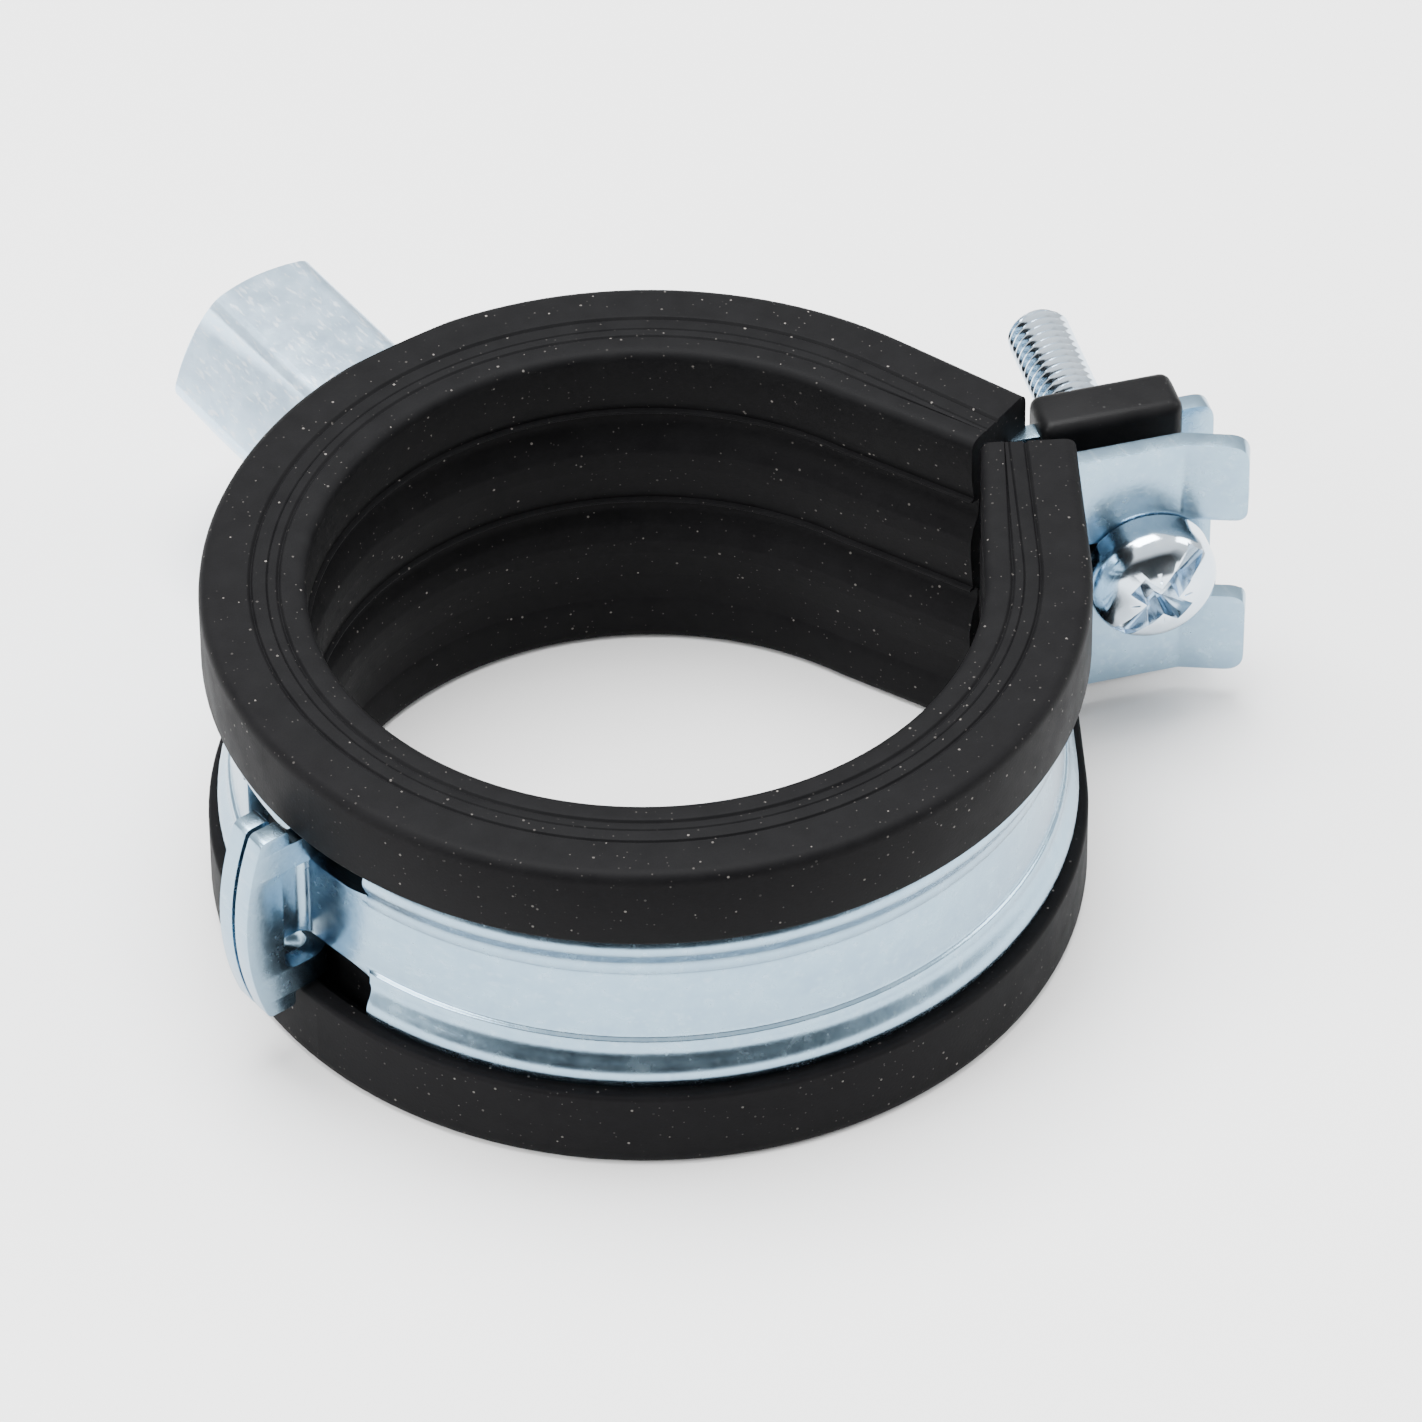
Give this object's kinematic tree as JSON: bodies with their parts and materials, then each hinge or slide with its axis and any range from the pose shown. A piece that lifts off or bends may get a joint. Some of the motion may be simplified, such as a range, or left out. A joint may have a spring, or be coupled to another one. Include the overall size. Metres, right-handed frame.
{
  "type": "rubber lined pipe clamp",
  "caption": "Round pipe clamp with a grooved rubber liner, a hook-in hinge, a closing screw with a plastic retainer and a long hex hanger nut.",
  "frame": {"origin": "centre of the pipe bore at mid width", "axes": "+Z along the pipe, +Y along the hanger nut away from the pipe, closing screw on the +X side"},
  "size_m": [0.0905, 0.0862, 0.0284],
  "materials": {
    "zinc_steel": "rolled steel strip with bright zinc plating",
    "zinc_nut": "bright blue-white zinc plating",
    "black_rubber": "matte moulded rubber",
    "black_plastic": "moulded plastic"
  },
  "bodies": {
    "nut_half": {"strap_nut_half": "zinc_steel", "liner_nut_half": "black_rubber", "hanger_nut": "zinc_nut", "screw_retainer": "black_plastic"},
    "swing_half": {"strap_swing_half": "zinc_steel", "liner_swing_half": "black_rubber"},
    "screw": {"clamp_screw": "zinc_nut"}
  },
  "joints": [
    {"name": "clamp_open", "type": "hinge", "parent": "nut_half", "child": "swing_half", "pos_m": [-0.03294, -0.00439, 0], "axis": [0, 0, -1], "range_deg": [0, 15]},
    {"name": "screw_travel", "type": "slide", "parent": "nut_half", "child": "screw", "axis": [-0.3338, -0.9426, 0], "range_m": [0, 0.02045]}
  ],
  "couplings": [
    {"joint": "screw_travel", "follows": "clamp_open", "m_per_rad": 0.078}
  ]
}
